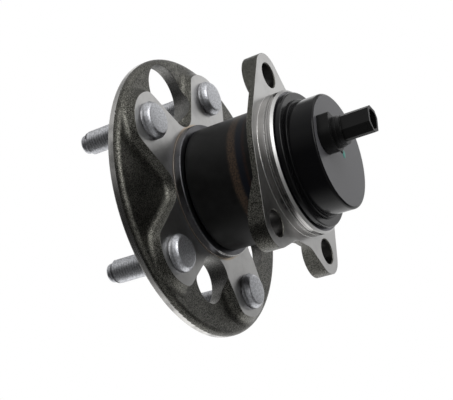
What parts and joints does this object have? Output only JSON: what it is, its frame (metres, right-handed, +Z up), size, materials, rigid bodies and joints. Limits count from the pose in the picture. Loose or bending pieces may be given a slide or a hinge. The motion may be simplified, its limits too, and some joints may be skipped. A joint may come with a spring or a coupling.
{
  "type": "wheel hub bearing",
  "caption": "Wheel hub bearing unit: flanged hub with pressed-in wheel studs, double-row ball bearing, eared knuckle flange and an end cap with a wheel speed sensor and its connector.",
  "frame": {"origin": "centre of the face that the wheel seats on, on the spin axis", "axes": "+Y along the spin axis towards the wheel, +Z up, square to the mirror plane of the knuckle flange, +X towards the narrow pair of knuckle bolts"},
  "size_m": [0.1516, 0.1403, 0.1516],
  "materials": {
    "forged_steel": "dark oiled forging with ground pads and faces",
    "stud_steel": "galvanised, matte",
    "bearing_steel": "ground and polished",
    "seal_steel": "drawn stainless sheet",
    "seal_rubber": "matte",
    "encoder_rubber": "matte, magnetised",
    "black_steel": "glossy black coating",
    "cap_plastic": "glossy sides, satin end face",
    "sensor_plastic": "matte black moulding",
    "chip_plastic": "matte",
    "terminal_metal": "tin plated",
    "cage_plastic": "natural glass-filled polyamide"
  },
  "bodies": {
    "outer_ring_body": {"outer_ring": "forged_steel", "outboard_seal_case": "seal_steel", "outboard_seal_lip": "seal_rubber", "cap_sleeve": "black_steel", "end_cap": "cap_plastic", "sensor_housing": "sensor_plastic", "sensor_chip": "chip_plastic", "sensor_seal_ring": "seal_rubber", "terminal_pin_upper": "terminal_metal", "terminal_pin_lower": "terminal_metal"},
    "hub_body": {"hub_flange": "forged_steel", "wheel_studs": "stud_steel", "inner_ring": "bearing_steel", "encoder_carrier": "seal_steel", "encoder_ring": "encoder_rubber"},
    "outboard_row_body": {"outboard_cage": "cage_plastic", "outboard_ball_01": "bearing_steel", "outboard_ball_02": "bearing_steel", "outboard_ball_03": "bearing_steel", "outboard_ball_04": "bearing_steel", "outboard_ball_05": "bearing_steel", "outboard_ball_06": "bearing_steel", "outboard_ball_07": "bearing_steel", "outboard_ball_08": "bearing_steel", "outboard_ball_09": "bearing_steel", "outboard_ball_10": "bearing_steel", "outboard_ball_11": "bearing_steel"},
    "inboard_row_body": {"inboard_cage": "cage_plastic", "inboard_ball_01": "bearing_steel", "inboard_ball_02": "bearing_steel", "inboard_ball_03": "bearing_steel", "inboard_ball_04": "bearing_steel", "inboard_ball_05": "bearing_steel", "inboard_ball_06": "bearing_steel", "inboard_ball_07": "bearing_steel", "inboard_ball_08": "bearing_steel", "inboard_ball_09": "bearing_steel", "inboard_ball_10": "bearing_steel", "inboard_ball_11": "bearing_steel"}
  },
  "joints": [
    {"name": "hub_spin", "type": "hinge", "parent": "outer_ring_body", "child": "hub_body", "pos_m": [0, 0, 0], "axis": [0, 1, 0], "continuous": true},
    {"name": "outboard_row_spin", "type": "hinge", "parent": "outer_ring_body", "child": "outboard_row_body", "pos_m": [0, -0.02708, 0], "axis": [0, 1, 0], "continuous": true},
    {"name": "inboard_row_spin", "type": "hinge", "parent": "outer_ring_body", "child": "inboard_row_body", "pos_m": [0, -0.051, 0], "axis": [0, 1, 0], "continuous": true}
  ],
  "couplings": [
    {"joint": "outboard_row_spin", "follows": "hub_spin", "ratio": 0.3989},
    {"joint": "inboard_row_spin", "follows": "hub_spin", "ratio": 0.3989}
  ]
}
